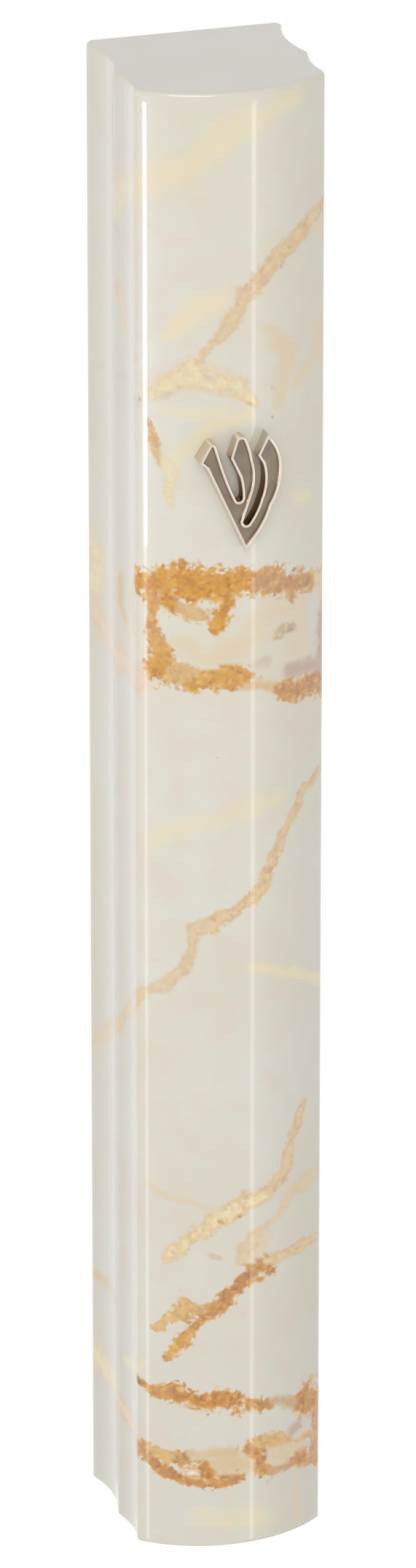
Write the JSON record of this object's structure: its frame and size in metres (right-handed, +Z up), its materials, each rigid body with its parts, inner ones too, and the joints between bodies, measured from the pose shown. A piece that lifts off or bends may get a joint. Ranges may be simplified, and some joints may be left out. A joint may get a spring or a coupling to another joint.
{
  "type": "mezuzah case",
  "caption": "Slim wall-hung mezuzah case with bowed marble-print front, raised letter, slide-on back plate and rubber cork that carries the rolled parchment.",
  "frame": {"origin": "centre of the back (wall) face, half way up the case", "axes": "+Z up along the case, +Y into the doorpost, the bowed front faces -Y"},
  "size_m": [0.023, 0.0243, 0.18],
  "materials": {
    "marble_print_plastic": "glossy ivory marble-print ABS",
    "white_abs": "moulded satin ABS",
    "white_foam": "closed-cell foam tape",
    "release_paper": "siliconised release paper",
    "bright_nickel": "bright nickel-plated zinc casting",
    "spring_steel": "bright spring steel",
    "white_rubber": "matt silicone rubber",
    "parchment": "uncoated scraped parchment",
    "clear_film": "clear polyethylene film"
  },
  "bodies": {
    "plate": {"back_plate": "white_abs", "upper_foam_tape": "white_foam", "lower_foam_tape": "white_foam", "upper_release_liner": "release_paper", "lower_release_liner": "release_paper"},
    "case": {"front_shell": "marble_print_plastic", "shin_letter": "bright_nickel", "emblem_push_nuts": "spring_steel"},
    "cork": {"bottom_cork": "white_rubber"},
    "scroll": {"parchment_scroll": "parchment", "scroll_sleeve": "clear_film"}
  },
  "joints": [
    {"name": "case_slide", "type": "slide", "parent": "plate", "child": "case", "axis": [0, 0, 1], "range_m": [0, 0.18]},
    {"name": "cork_pull", "type": "slide", "parent": "case", "child": "cork", "axis": [0, 0, -1], "range_m": [0, 0.17]},
    {"name": "scroll_lift", "type": "slide", "parent": "cork", "child": "scroll", "axis": [0, 0, 1], "range_m": [0, 0.0145]}
  ]
}
